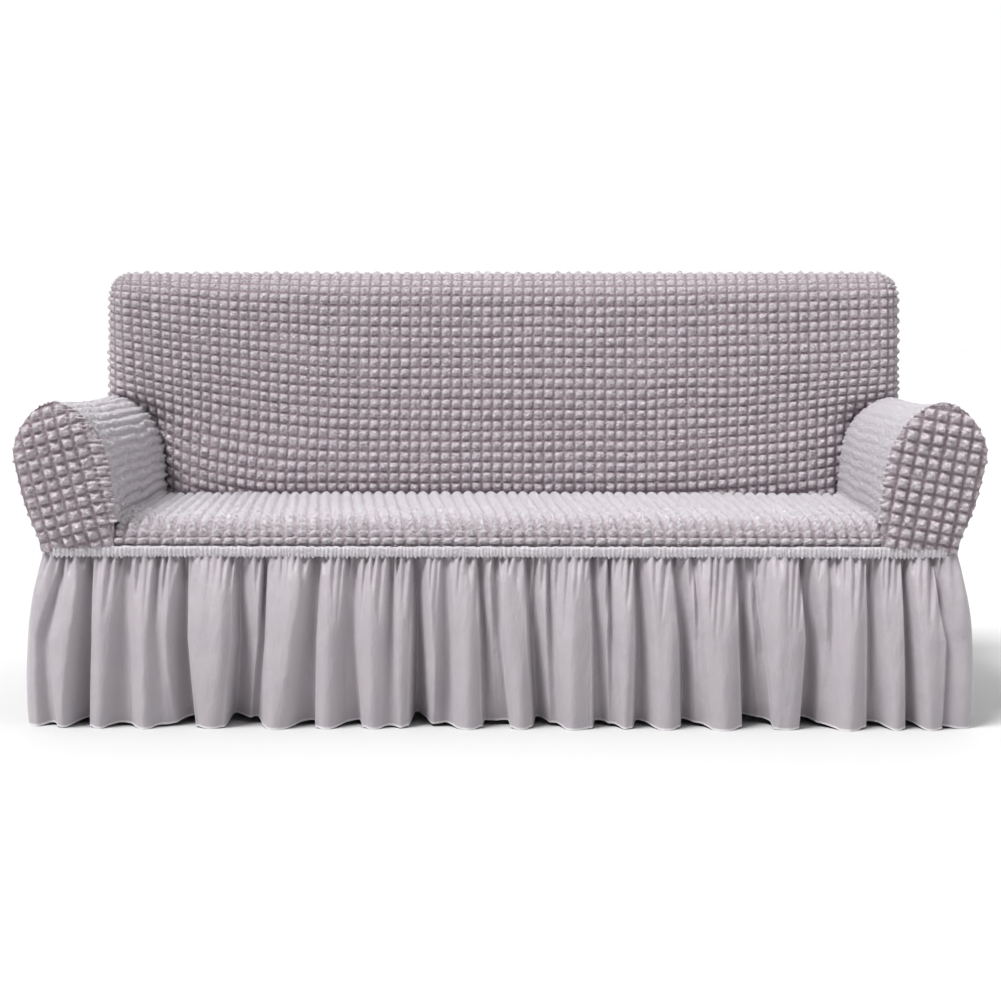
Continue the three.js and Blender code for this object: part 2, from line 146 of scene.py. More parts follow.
# The angles of a quarter of an ellipse, which the cloth follows round the back's
# edges, and the length of cloth up to each one.
QUARTER = np.linspace(0, np.pi / 2, 65)
QUARTER_STEPS = np.hypot(BACK_EDGE * np.diff(np.sin(QUARTER)),
                         EDGE_DEPTH * np.diff(np.cos(QUARTER)))
QUARTER_LENGTHS = np.concatenate([[0], np.cumsum(QUARTER_STEPS)])
EDGE_LENGTH = QUARTER_LENGTHS[-1]
FLAT_HALF = BACK_HALF - BACK_EDGE
FLAT_TOP = BACK_TOP - BACK_EDGE


def turned(past):
    """Angle by which cloth has turned at this length past the start of an edge."""
    return np.interp(past, QUARTER_LENGTHS, QUARTER)


def back_surface(face, across, height):
    """Places on one face of the back's rounded slab, -1 for the front or 1 for the rear.
    across is the length of cloth from the middle plane; height is real up to the top
    edge and cloth length past it. Past an edge, a place moves out by the radius times
    the sine of its angle, times the root of 1 minus half the square of the other edge's
    sine. Its depth from the middle is half the thickness times both cosines."""
    side = np.sin(turned(np.abs(across) - FLAT_HALF))
    top = np.sin(turned(height - FLAT_TOP))
    x = np.minimum(np.abs(across), FLAT_HALF) + BACK_EDGE * side * np.sqrt(1 - top**2 / 2)
    z = np.minimum(height, FLAT_TOP) + BACK_EDGE * top * np.sqrt(1 - side**2 / 2)
    middle = (inside_back_at(z) + outside_back_at(z)) / 2
    deep = (outside_back_at(z) - inside_back_at(z)) / 2
    y = middle + face * deep * np.sqrt((1 - side**2) * (1 - top**2))
    return np.stack([np.sign(across) * x, y, z], axis=-1)


def lines(count, inside=(0.1, 0.3, 0.5, 0.7, 0.9)):
    """Grid lines over that many squares: some within each one, and both outer edges."""
    within = (np.arange(count)[:, None] + np.array(inside)).ravel()
    return np.concatenate([[0], within, [count]])


def chance(seed, low, high, *size):
    """Even random numbers from low to high, the same in every run."""
    return np.random.default_rng(seed).uniform(low, high, size)


OFF_CENTRE = 0.32           # how far the top of a square may lie off its middle, each way
LOWEST, TALLEST = 0.78, 1.12


def squares(p, q, seed, flat=0.1):
    """Height from 0 to about 1 of the raised squares at cloth place p, q, counted in
    squares. Each one rises from the flat lines round it to a top of its own place and
    height. It is half a pyramid, 1 minus the 1.5th power of the larger of a place's two
    shares of the way out to the edges, and half a pillow, the product of 1 minus the
    square of each share."""
    column = np.clip(np.floor(p).astype(int), 0, None)
    row = np.clip(np.floor(q).astype(int), 0, None)
    size = (row.max() + 1, column.max() + 1)
    tops = [chance(seed + k, -OFF_CENTRE, OFF_CENTRE, *size)[row, column] for k in (0, 1)]
    tall = chance(seed + 2, LOWEST, TALLEST, *size)[row, column]
    shares = []
    for place, top in zip((p - column, q - row), tops):
        away = (2 * place - 1) / (1 - 2 * flat)
        reach = np.where(away > top, 1 - top, 1 + top)
        shares.append(np.clip(np.abs(away - top) / reach, 0, 1))
    pyramid = 1 - np.maximum(*shares) ** 1.5
    pillow = (1 - shares[0] ** 2) * (1 - shares[1] ** 2)
    return tall * (0.5 * pyramid + 0.5 * pillow)


LATTICE = 97                # numbers each way before the noise repeats


def cloudy(p, q, seed):
    """Smooth uneven noise from 0 to 1: random numbers on a lattice, with 3t2 - 2t3
    between neighbours each way."""
    lattice = chance(seed, 0, 1, LATTICE, LATTICE)
    i, j = np.floor(p).astype(int), np.floor(q).astype(int)
    u, v = smooth(p - i, 0, 1), smooth(q - j, 0, 1)
    corner = [[lattice[(j + b) % LATTICE, (i + a) % LATTICE] for a in (0, 1)] for b in (0, 1)]
    low, high = (corner[b][0] * (1 - u) + corner[b][1] * u for b in (0, 1))
    return low * (1 - v) + high * v


CREASES_IN_ROW = 500        # before the row repeats
FLATTEST = 0.35             # height of the lowest one


def creases(distance, seed, narrow, wide):
    """A row of rounded creases from 0 to 1, each a cosine wave of its own width and
    height."""
    widths = chance(seed, narrow, wide, CREASES_IN_ROW)
    edges = np.concatenate([[0], np.cumsum(widths)])
    along = np.mod(distance, edges[-2])
    k = np.searchsorted(edges, along, side="right") - 1
    tall = chance(seed + 1, FLATTEST, 1.0, CREASES_IN_ROW)[k]
    return tall * (0.5 - 0.5 * np.cos(2 * np.pi * (along - edges[k]) / widths[k]))


def normals(points):
    """Unit normals of a grid of points: the cross product of the steps to the next column
    and to the next row, divided by its length."""
    cross = np.cross(np.gradient(points, axis=1), np.gradient(points, axis=0))
    return cross / np.maximum(np.linalg.norm(cross, axis=-1, keepdims=True), 1e-12)


def cloth_piece(name, points, cloth, raised, stretched, finish, keep=None, inside_out=False):
    """A sheet made of a grid of points, with its cloth places as a UV map, and how far it
    is raised and stretched as attributes. keep marks the cells that are kept, where some
    are left out, and inside_out turns the faces round."""
    high, wide = points.shape[:2]
    number = np.arange(high * wide).reshape(high, wide)
    quads = np.stack([number[:-1, :-1], number[:-1, 1:], number[1:, 1:], number[1:, :-1]], axis=-1)
    quads = quads.reshape(-1, 4) if keep is None else quads[keep]
    if inside_out:
        quads = quads[:, ::-1]
    used, corners = np.unique(quads, return_inverse=True)
    corners = corners.ravel()
    mesh = bpy.data.meshes.new(name)
    mesh.vertices.add(len(used))
    mesh.vertices.foreach_set("co", points.reshape(-1, 3)[used].astype(np.float32).ravel())
    mesh.loops.add(len(corners))
    mesh.loops.foreach_set("vertex_index", corners.astype(np.int32))
    mesh.polygons.add(len(quads))
    mesh.polygons.foreach_set("loop_start", np.arange(0, len(corners), 4, dtype=np.int32))
    mesh.polygons.foreach_set("use_smooth", np.ones(len(quads), bool))
    mesh.update(calc_edges=True)
    places = mesh.uv_layers.new(name="cloth")
    places.data.foreach_set("uv", cloth.reshape(-1, 2)[used][corners].astype(np.float32).ravel())
    # The material reads these for its painted shade in low places and its painted highlight on
    # stretched ridges.
    for label, values in (("raised", raised), ("stretched", stretched + 0 * raised)):
        kept = mesh.attributes.new(label, "FLOAT", "POINT")
        kept.data.foreach_set("value", values.ravel()[used].astype(np.float32))
    mesh.validate()
    mesh.materials.append(finish)
    piece = bpy.data.objects.new(name, mesh)
    bpy.context.scene.collection.objects.link(piece)
    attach(piece, "root")
    return piece


class Wire:
    """A value that runs between a material's nodes; arithmetic on it adds Math nodes."""

    def __init__(self, tree, socket=None):
        self.tree = tree
        self.socket = socket

    def node(self, kind, settings, sockets, output=0):
        """Any other node: its settings first, then the values or wires of its sockets."""
        made = self.tree.nodes.new(kind)
        for key, value in settings.items():
            setattr(made, key, value)
        for key, value in sockets.items():
            if isinstance(value, Wire):
                self.tree.links.new(value.socket, made.inputs[key])
            else:
                made.inputs[key].default_value = value
        return Wire(self.tree, made.outputs[output])

    def sibling(self, output):
        """Another output of the node that this value comes from."""
        return Wire(self.tree, self.socket.node.outputs[output])

    def into(self, shader, socket):
        """Runs into one of the shader's sockets."""
        self.tree.links.new(self.socket, shader.inputs[socket])

    def math(self, operation, *others):
        values = dict(enumerate([self, *others]))
        return self.node("ShaderNodeMath", {"operation": operation}, values)

    def __add__(self, other):
        return self.math("ADD", other)

    def __sub__(self, other):
        return self.math("SUBTRACT", other)

    def __rsub__(self, other):
        return self.math("MULTIPLY", -1).math("ADD", other)

    def __mul__(self, other):
        return self.math("MULTIPLY", other)

    __radd__ = __add__
    __rmul__ = __mul__

    def between(self, low, high):
        """0 below low and 1 above high, smoothly."""
        settings = {"interpolation_type": "SMOOTHSTEP"}
        sockets = {"Value": self, "From Min": low, "From Max": high}
        return self.node("ShaderNodeMapRange", settings, sockets)

    def mix(self, first, second):
        """The first colour where this is 0 and the second where it is 1."""
        sockets = {0: self, 6: first, 7: second}
        return self.node("ShaderNodeMix", {"data_type": "RGBA"}, sockets, output=2)


def cloth_finish(name, roughness, sheen):
    """A new cloth material, as the material, its shader and a first wire."""
    finish = bpy.data.materials.new(name)
    finish.use_nodes = True
    shader = finish.node_tree.nodes["Principled BSDF"]
    shader.inputs["Roughness"].default_value = roughness
    shader.inputs["Sheen Weight"].default_value = sheen
    shader.inputs["Sheen Roughness"].default_value = 0.5
    shader.inputs["Specular IOR Level"].default_value = 0.25
    return finish, shader, Wire(finish.node_tree)


LILAC_WARM = (0.730, 0.652, 0.683, 1)
LILAC_COOL = (0.670, 0.628, 0.675, 1)
# the stretched knit's paler tone, together with a painted highlight on its raised ridges
STRETCHED_PALE_AND_HIGHLIGHT = (0.690, 0.662, 0.702, 1)
# painted shade, for the hollows of the crumples and the valleys between the squares
PAINTED_SHADE = (0.430, 0.355, 0.390, 1)
MAUVE = (0.300, 0.215, 0.250, 1)


def bubble_finish(name):
    """Puckered jersey: lilac-grey squares of slightly different tints, with painted shade in their
    crumples and valleys, mauve lines of elastic, dimples and a fine knit. Where it is stretched
    it is paler, with a painted highlight on its raised ridges, and shows no lines."""
    finish, shader, start = cloth_finish(name, 0.8, 0.15)
    place = start.node("ShaderNodeUVMap", {"uv_map": "cloth"}, {})
    p = start.node("ShaderNodeSeparateXYZ", {}, {0: place})
    q = p.sibling(1)
    raised = start.node("ShaderNodeAttribute", {"attribute_name": "raised"}, {}, output=2)
    stretched = start.node("ShaderNodeAttribute", {"attribute_name": "stretched"}, {}, output=2)
    loose = 1 - stretched
    from_middle = [(w.math("FRACT") - 0.5).math("ABSOLUTE") * 2 for w in (p, q)]
    line = from_middle[0].math("MAXIMUM", from_middle[1]).between(0.60, 1.0)
    cell = start.node("ShaderNodeCombineXYZ", {}, {0: p.math("FLOOR"), 1: q.math("FLOOR")})
    tint = start.node("ShaderNodeTexWhiteNoise", {"noise_dimensions": "2D"}, {0: cell})
    cloud = start.node("ShaderNodeTexNoise", {}, {"Vector": place, "Scale": 0.6, "Detail": 2})
    crumple = start.node("ShaderNodeTexNoise", {}, {"Vector": place, "Scale": 3.2, "Detail": 4,
                                                    "Roughness": 0.65, "Distortion": 0.8})
    dimple = start.node("ShaderNodeTexVoronoi", {}, {"Vector": place, "Scale": 3.6})
    knit = start.node("ShaderNodeTexNoise", {}, {"Vector": place, "Scale": 24, "Detail": 1})

    colour = (tint * 0.4 + cloud * 0.6).mix(LILAC_WARM, LILAC_COOL)
    # Painted shade: darker in the hollows of the crumples.
    colour = (crumple.between(0.62, 0.38) * 0.35).mix(colour, PAINTED_SHADE)
    # Paler where stretched and raised: the stretched knit's paler tone and a painted highlight on
    # the ridges.
    colour = (stretched * raised.between(0.1, 0.7)).mix(colour, STRETCHED_PALE_AND_HIGHLIGHT)
    # Painted shade: darker in the valleys between the squares, more where the cloth is loose.
    valley_shade = (1 - raised.between(0.0, 0.24)) * (loose * 0.25 + 0.35)
    colour = valley_shade.mix(colour, PAINTED_SHADE)
    elastic = line * loose * (1 - raised.between(0.0, 0.32)) * 0.75
    elastic.mix(colour, MAUVE).into(shader, "Base Color")

    first = start.node("ShaderNodeBump", {}, {"Strength": 1.0, "Distance": 0.016,
                                              "Height": crumple + dimple * 0.25})
    second = start.node("ShaderNodeBump", {}, {"Strength": 0.6, "Distance": 0.0015,
                                               "Height": knit, "Normal": first})
    second.into(shader, "Normal")
    return finish


bubbled = bubble_finish("bubbled_jersey")

BACK_COLUMNS = 84
BACK_ROWS = 24
BACK_PUFF = 0.0090          # how far a square stands up
MEAN_PUFF = 0.45            # share of it that lies on the back's own surface
CREASE_HEIGHT = 0.4345      # where the panel meets the seat
PULL_ROWS = 5               # rows that rise out of the crease near the arms
PULL_FROM = (0.48, 0.25)    # how far out they start to rise, at the left and the right
PULL_WIDER = 0.23           # how much nearer the middle that is at the left, higher up
PULL_HIGH = (0.028, 0.018)  # lift beside the arms, at the top
PULL_MORE = (0.062, 0.034)  # and how much more low down


def pulled_up(x, z):
    """Lift of the back's rows: the square of how far out the place lies, past a start
    that is nearer the arm low down on the left, times a height that is greatest low
    down."""
    left = x < 0
    start = np.where(left, PULL_FROM[0] - PULL_WIDER * smooth(z, 0.45, 0.60), PULL_FROM[1])
    out = np.clip((np.abs(x) - start) / (FLAT_HALF - start), 0, 1.15)
    most = np.where(left, PULL_HIGH[0] + PULL_MORE[0] * (1 - smooth(z, 0.50, 0.95)),
                    PULL_HIGH[1] + PULL_MORE[1] * (1 - smooth(z, 0.55, 0.75)))
    return most * out**2


# The arm's section from the seat up the inside, over the roll and down to the band:
# how far each point lies out from the seat's edge, and its height.
ARM_OUT = np.array([0, 3, 10, 22, 42, 68, 96, 126, 152, 178, 200, 215, 221, 217, 208, 198,
                    186, 174, 165, 160]) / 1000
ARM_HEIGHT = np.array([424, 480, 540, 585, 622, 650, 669, 677, 672, 655, 628, 600, 572, 545,
                       505, 465, 433, 405, 379, 366]) / 1000
ROLL_TOP = 8                # points up to the top of the roll
ROLL_WIDEST = 13            # and up to where it is widest
ARM_INNER = {"left": 0.793, "right": 0.784}
ARM_OUTER = 1.003
ARM_TOP = 0.677
ARM_DROP = 0.018            # how much lower the roll is where it meets the back
ARM_SAG = 0.006
SIGN = {"left": -1, "right": 1}


def arm_half(side, out):
    """Distance from the middle plane of a point that lies this far out on the section,
    which is scaled so that its widest point lies at ARM_OUTER."""
    return ARM_INNER[side] + out * (ARM_OUTER - ARM_INNER[side]) / ARM_OUT.max()


def arm_lowering(y, z):
    """How much lower the roll lies than at its front: a steady drop towards the back and
    a sine's sag half-way, in full at its top."""
    along = np.clip((y - FRONT) / (BACK_FOOT - FRONT), 0, 1)
    share = np.maximum(0, (z - SEAT_HEIGHT) / (ARM_TOP - SEAT_HEIGHT))
    return share * (ARM_DROP * along + ARM_SAG * np.sin(np.pi * along))


def arm_top_at(x):
    """Height of the arm's inner side and roll where they meet the back, by x."""
    z, out = ARM_HEIGHT[:ROLL_WIDEST], ARM_OUT[:ROLL_WIDEST]
    z = z - arm_lowering(BACK_FOOT, z)
    left, right = (np.interp(np.abs(x), arm_half(side, out), z, left=0) for side in SIGN)
    return np.where(x < 0, left, right)


CREVICE = 0.030             # how deep the cloth is pulled in beside the arms
CREVICE_REACH = 0.030       # and how soon that dies away
LEFT_CREVICE = 1.4          # how much deeper it is at the left
CREASE = 0.012              # the same at the seat
CREASE_REACH = 0.014
ROW_WANDER = 0.0045
ROW_LEAN = 0.35             # how far a row also moves towards the middle as it is lifted
STEADY = 0.12               # height below the top seam within which the lift dies away
ARM_LEVEL = (0.60, 0.68)    # heights between which the arms' pull dies away
WRINKLE = 0.55
FLATTER = 0.35              # share of a square's height that is lost on the edges
BEHIND_ARM = 0.012          # how far the panel runs on behind the arms
BEHIND_SEAT = 0.010         # and below the seat

seam_height = FLAT_TOP + EDGE_LENGTH     # of the seam along the top, in length of cloth
back_width = 2 * (FLAT_HALF + EDGE_LENGTH)
P, Q = np.meshgrid(lines(BACK_COLUMNS), lines(BACK_ROWS + PULL_ROWS) - PULL_ROWS)
across = (P / BACK_COLUMNS - 0.5) * back_width
height = CREASE_HEIGHT + Q / BACK_ROWS * (seam_height - CREASE_HEIGHT)
wander = ROW_WANDER * (cloudy(P / 5, Q / 3, seed=3) - 0.5)
lift = (pulled_up(across, height) + wander) * np.clip((seam_height - height) / STEADY, 0, 1)
height = height + lift
on_face = 1 - smooth(np.abs(across), FLAT_HALF, FLAT_HALF + EDGE_LENGTH)
lean = lift * ROW_LEAN * np.sign(across) * on_face
surface = back_surface(-1, across - lean, height)
z = surface[..., 2]
inner = np.interp(z, ARM_HEIGHT[:ROLL_TOP], ARM_OUT[:ROLL_TOP]) + ARM_INNER["left"]
beside = np.clip(inner - np.abs(surface[..., 0]), 0, 1)
low = (1 - smooth(z, *ARM_LEVEL)) * np.where(across < 0, LEFT_CREVICE, 1)
at_arm = CREVICE * np.exp(-beside / CREVICE_REACH) * low
at_seat = CREASE * np.exp(-np.maximum(0, z - CREASE_HEIGHT) / CREASE_REACH)
surface[..., 1] += np.maximum(at_arm, at_seat)
turn = np.maximum(turned(np.abs(across) - FLAT_HALF), turned(height - FLAT_TOP))
raised = squares(P, Q + PULL_ROWS, seed=11) * (1 - FLATTER * np.sin(turn))
wrinkled = (cloudy(P * 2.7, Q * 2.9, seed=5) - 0.5) * WRINKLE * smooth(raised, 0.1, 0.5)
puffed = (raised + wrinkled - MEAN_PUFF) * BACK_PUFF
points = surface + normals(surface) * puffed[..., None]
centre = (surface[:-1, :-1] + surface[1:, 1:]) / 2
above_arm = centre[..., 2] > arm_top_at(centre[..., 0]) - BEHIND_ARM
keep = above_arm & (centre[..., 2] > CREASE_HEIGHT - BEHIND_SEAT)
inside_back = cloth_piece("inside_back_cloth", points, np.stack([P, Q + PULL_ROWS], -1), raised, 0,
                          bubbled, keep)
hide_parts("inside_back")

# ---- Outside back --------------------------------------------------------
# The rear of the cover: a second panel of the same jersey, sewn to the first along
# the top and the middle of the sides. Lower down it turns an upright corner to meet
# each arm, and its lower edge is sewn to the elastic band.

ROLL_LOSS = 0.6             # share of the roll's overhang lost at the rear corner
CLEAR = 0.004               # how far past the back's side the overhang starts
REAR_CORNER = 0.030
CORNER_LENGTH = REAR_CORNER * np.pi / 2
SIDE_FOOT = 0.655           # where the back's rounded sides stand on the arms
REAR_ROWS = 28
WITHIN = (0.12, 0.5, 0.88)
REAR_FLATTER = 0.45
TURN_TOP = SIDE_FOOT - 0.006
TURN_HEIGHT = 0.012         # height in which the arms' corner gives way to the side
TURN_EASE = 0.16            # how much more gradual that is on the flat rear
REAR_FLAT = (0.80, 0.93)    # shares of the width between which that changes


def drawn_in(half, y):
    """Distance from the middle plane, less a share of the overhang past the back's side
    that grows smoothly from the back's front to its rear corner."""
    overhang = np.maximum(0, half - BACK_HALF - CLEAR)
    return half - overhang * ROLL_LOSS * smooth(y, BACK_FOOT, REAR - REAR_CORNER)


def arm_outer_at(side, z, y):
    """Distance from the middle plane of the arm's outer face, by height and depth: the
    section's, read at the height that it has at the front, and drawn in."""
    outside = slice(None, ROLL_TOP - 1, -1)
    out = np.interp(z + arm_lowering(y, z), ARM_HEIGHT[outside], ARM_OUT[outside])
    return drawn_in(arm_half(side, out), y)


def low_back_surface(share, z):
    """The rear below the arms' level, by the share of its width: flat, with an upright
    corner at each end, a quarter circle by its sine and cosine, that meets the arm's
    outer face."""
    depth = outside_back_at(z) - REAR_CORNER
    half = np.where(share < 0, arm_outer_at("left", z, depth), arm_outer_at("right", z, depth))
    length = np.abs(share) * (half - REAR_CORNER + CORNER_LENGTH)
    angle = np.clip((length - half + REAR_CORNER) / REAR_CORNER, 0, np.pi / 2)
    x = np.minimum(length, half - REAR_CORNER) + REAR_CORNER * np.sin(angle)
    return np.stack([np.sign(share) * x, depth + REAR_CORNER * np.cos(angle), z], axis=-1)


P, Q = np.meshgrid(lines(BACK_COLUMNS, WITHIN), lines(REAR_ROWS, WITHIN))
across = (P / BACK_COLUMNS - 0.5) * back_width
height = BAND_TOP + Q / REAR_ROWS * (seam_height - BAND_TOP)
share = across / across.max()
gradual = TURN_EASE * (1 - smooth(np.abs(share), *REAR_FLAT))
upper = smooth(height, TURN_TOP - TURN_HEIGHT - gradual, TURN_TOP)
low = low_back_surface(share, height)
high = back_surface(1, across, height)
surface = low * (1 - upper[..., None]) + high * upper[..., None]
turn = np.maximum(turned(np.abs(across) - FLAT_HALF) * upper, turned(height - FLAT_TOP))
raised = squares(P, Q, seed=21, flat=0.12) * (1 - REAR_FLATTER * np.sin(turn))
points = surface - normals(surface) * ((raised - MEAN_PUFF) * BACK_PUFF)[..., None]
outside_back = cloth_piece("outside_back_cloth", points, np.stack([P, Q], -1), raised, 0,
                           bubbled, inside_out=True)
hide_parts("outside_back")

# ---- Seat ----------------------------------------------------------------
# One panel over the seat and down its front to the band. Sitting has pulled it flat
# from back to front, so its squares have run together into ridges that only break up
# again at the front edge.

SEAT_DEPTH = np.array([145, 56, -154, -294, -354, -389, -411, -423, -427, -427, -427]) / 1000
SEAT_Z = np.array([434, 432, 431, 430.5, 429, 424, 413, 399, 388, 376, 362]) / 1000
SEAT_COLUMNS = 65
SEAT_ROWS = 27
FRONT_ROWS = 4              # rows on the front drop, which are drawn closer together
FRONT_REACH = 0.075         # and how far up from the band they reach
SEAT_PUFF = 0.0130
SEAT_CROWN = 0.004
SEAT_REACH = 0.58           # length from the rear to the front drop
SEAT_TUCK = 0.008           # how far each end is tucked under the arm
REAR_TUCK = (0.020, 0.006)  # how far the rear edge runs on into the crease, and down
RIDGE_LEAN = 0.022          # how far the ridges lean to the left at the back
LEFT_LEAN = 0.024           # and how much more on the left half
BREAK_UP = (0.47, 0.52)     # length from the rear where the ridges end and squares start


def curve_lengths(first, second):
    """Length of a line of points up to each one of them."""
    return np.concatenate([[0], np.cumsum(np.hypot(np.diff(first), np.diff(second)))])


def rounded(length, lengths, values, soft=0.012):
    """A table's value by length, the mean of five readings close by, which rounds its
    corners off."""
    return sum(np.interp(length + k * soft, lengths, values) for k in (-1, -0.5, 0, 0.5, 1)) / 5


P, Q = np.meshgrid(lines(SEAT_COLUMNS, (0.06, 0.2, 0.35, 0.5, 0.65, 0.8, 0.94)),
                   lines(SEAT_ROWS, (0.08, 0.3, 0.5, 0.7, 0.92)))
seat_lengths = curve_lengths(SEAT_DEPTH, SEAT_Z)
whole = seat_lengths[-1]
length = whole - np.interp(Q, [0, FRONT_ROWS, SEAT_ROWS], [0, FRONT_REACH, whole])
share = P / SEAT_COLUMNS
y = rounded(length, seat_lengths, SEAT_DEPTH) + REAR_TUCK[0] * np.exp(-length / 0.008)
z = rounded(length, seat_lengths, SEAT_Z) - REAR_TUCK[1] * np.exp(-length / 0.010)
x = share * (ARM_INNER["left"] + ARM_INNER["right"]) - ARM_INNER["left"]
x = x + SEAT_TUCK * (2 * share - 1)
towards_back = 1 - np.clip(length / SEAT_REACH, 0, 1)
lean = RIDGE_LEAN * np.sin(np.pi * share) * (2 * towards_back - 1)
lean = lean + LEFT_LEAN * np.sin(2 * np.pi * np.clip(share, 0, 0.5)) * towards_back
z = z + SEAT_CROWN * smooth(z, BAND_TOP, SEAT_HEIGHT) * (np.sin(np.pi * share) - 0.5)
surface = np.stack([x - lean, y, z], axis=-1)
broken = smooth(length + 0.02 * (cloudy(P / 3, 0 * Q, seed=34) - 0.5), *BREAK_UP)
fading = smooth(length, 0.18, 0.48)
ridge = (1 - np.abs(2 * (P % 1) - 1) ** 2.6) * (1 - np.exp(-length / 0.006))
strokes = cloudy(P * 2.2, Q * 2.4, seed=32) - 0.5
dimples = (cloudy(P * 2.9, Q * 2.9, seed=33) - 0.5) * 0.3
drawn = ridge * (0.85 - 0.25 * fading) + strokes * (0.15 + 0.65 * fading)
raised = drawn * (1 - broken) + (squares(P, Q, seed=31) * 1.2 + dimples) * broken
raised = raised * smooth(z, BAND_TOP - 0.002, BAND_TOP + 0.006)
points = surface + normals(surface) * ((raised - 0.35) * SEAT_PUFF)[..., None]
seat = cloth_piece("seat_cloth", points, np.stack([P, Q], -1), raised, 1 - 0.3 * broken,
                   bubbled)
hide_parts("seat")

# ---- Arms ----------------------------------------------------------------
# One panel for each arm, from the seat up the inside, over the roll and down the
# outside to the band. It is pulled along the arm, so the squares on its inside and
# top are drawn out into long ridges, and only the outside still shows squares.

ARM_ROWS = 29
ARM_COLUMNS = 26
FINE = (0.07, 0.21, 0.36, 0.5, 0.64, 0.79, 0.93)
ARM_LENGTH = 0.58
ARM_PUFF = 0.0085
OUTER_SHARE = (0.50, 0.60)  # shares of the section where the inside's ridges give way
INSIDE_RIDGE = {"left": 1.05, "right": 0.30}
# least relief that the colour reads on the drawn cloth: painted highlight all over it, and little
# painted shade in its valleys
LEAST_HIGHLIGHT = {"left": 0.4, "right": 0.5}    # how far the drawn cloth is pale all over
FRILL = {"left": 0.042, "right": 0.010}     # reach of the puckers from the front seam
TUCK_REACH = 0.014          # and of those at the rear end
SIDE_CREVICE = 0.7          # share of the crevice's depth beside the back's rounded side
arm_lengths = curve_lengths(ARM_OUT, ARM_HEIGHT)


def arm_end(half, z, share):
    """Depth where the arm's cloth ends: in the crevice at the inside back's face or
    rounded side, an ellipse, or at the rear corner where it lies outside the back."""
    rear = outside_back_at(z) - REAR_CORNER
    past = np.clip((half - FLAT_HALF) / (BACK_EDGE + CLEAR), 0, 1)
    middle = (inside_back_at(z) + outside_back_at(z)) / 2
    deep = (outside_back_at(z) - inside_back_at(z)) / 2
    face = middle - deep * np.sqrt(1 - past**2) + CLEAR
    face = face + CREVICE * np.where(past == 0, 1, SIDE_CREVICE)
    return np.where((half > BACK_HALF + CLEAR) | (share > OUTER_SHARE[1]), rear, face)


def arm_surface(side, share, along):
    """The arm's cloth by its share round the section and its share along the arm."""
    length = share * arm_lengths[-1]
    out = rounded(length, arm_lengths, ARM_OUT, soft=0.008)
    z0 = rounded(length, arm_lengths, ARM_HEIGHT, soft=0.008)
    half0 = arm_half(side, out)
    y = FRONT + along * (arm_end(half0, z0 - ARM_DROP, share) - FRONT)
    return np.stack([SIGN[side] * drawn_in(half0, y), y, z0 - arm_lowering(y, z0)], axis=-1)


for side in ("left", "right"):
    P, Q = np.meshgrid(lines(ARM_COLUMNS, FINE), lines(ARM_ROWS, FINE))
    along = P / ARM_COLUMNS
    share = Q / ARM_ROWS
    surface = arm_surface(side, share, along)
    outer = smooth(share, *OUTER_SHARE)
    length = share * arm_lengths[-1]
    from_front = along * ARM_LENGTH
    from_rear = (1 - along) * ARM_LENGTH
    wave = 0.5 * cloudy(P * 0.35 + 7, Q * 0.5, seed=42)
    ridge = 1 - np.abs(2 * ((Q + wave) % 1) - 1) ** 2
    feathers = cloudy(P * 2.6 + Q * 0.8, Q * 1.1, seed=43) - 0.8
    feathers = feathers + 0.6 * cloudy(P * 3.4 - Q * 1.5, Q * 2.3, seed=44)
    near_front = np.exp(-from_front / 0.12)
    over_roll = 1 - 0.45 * smooth(share, 0.28, 0.42)
    inside = ridge * (0.75 - 0.35 * near_front) * over_roll
    inside = INSIDE_RIDGE[side] * (inside + feathers * (0.35 + 0.9 * near_front))
    raised = inside * (1 - outer) + squares(P, Q, seed=41) * outer
    frills = creases(length + 0.2 * from_front, 45, 0.006, 0.014)
    frills = frills * np.exp(-from_front / FRILL[side])
    tucks = creases(length, 46, 0.008, 0.015) * np.exp(-from_rear / TUCK_REACH)
    raised = raised * smooth(from_front, 0, 0.010)
    raised = raised + (frills * 0.6 + tucks * 0.8) * (1 - 0.6 * outer)
    puffed = (raised - 0.4) * ARM_PUFF
    points = surface - SIGN[side] * normals(surface) * puffed[..., None]
    # The relief that the colour reads, lifted on the drawn cloth for painted highlight and less
    # painted shade.
    painted_relief = np.maximum(raised, LEAST_HIGHLIGHT[side] * (1 - outer))
    piece = cloth_piece(f"arm_{side}_cloth", points, np.stack([P, Q], -1), painted_relief, 1 - outer,
                        bubbled, inside_out=side == "right")
    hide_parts(f"arm_{side}")

# ---- Arm fronts ----------------------------------------------------------
# A shaped panel sewn into the front of each roll, with the cloth at rest, so that it
# shows the largest and sharpest squares. Their rows tilt up towards the seat, and
# they break into puckers along the seam.

FRONT_GRID = (129, 181)
FRONT_SQUARE = (0.0275, 0.0255)
FRONT_TILT = {"left": math.radians(16), "right": math.radians(10)}
FRONT_FLARE = {"left": 0.25, "right": 0.18}
FRONT_START = 0.79          # how far out the pattern of squares starts
FRONT_PUFF = 0.0120
FRONT_FOOT = 0.366
FRONT_TOP = ARM_TOP - 0.0003
FRONT_OFF = 0.0016          # how far the panel stands in front of the arm's edge
POST_TOP = 0.43             # height below which its inner edge is upright
POST_OUT = 0.0008
ARM_SWELL = 0.012
RIM_LIFT = 0.0018           # how far the rim stands off the arm as it turns back over it
RIM_CURVE = 9
BACK_OVER = np.array([0.004, 0.008, 0.013, 0.018])   # how far back each of its lines lies

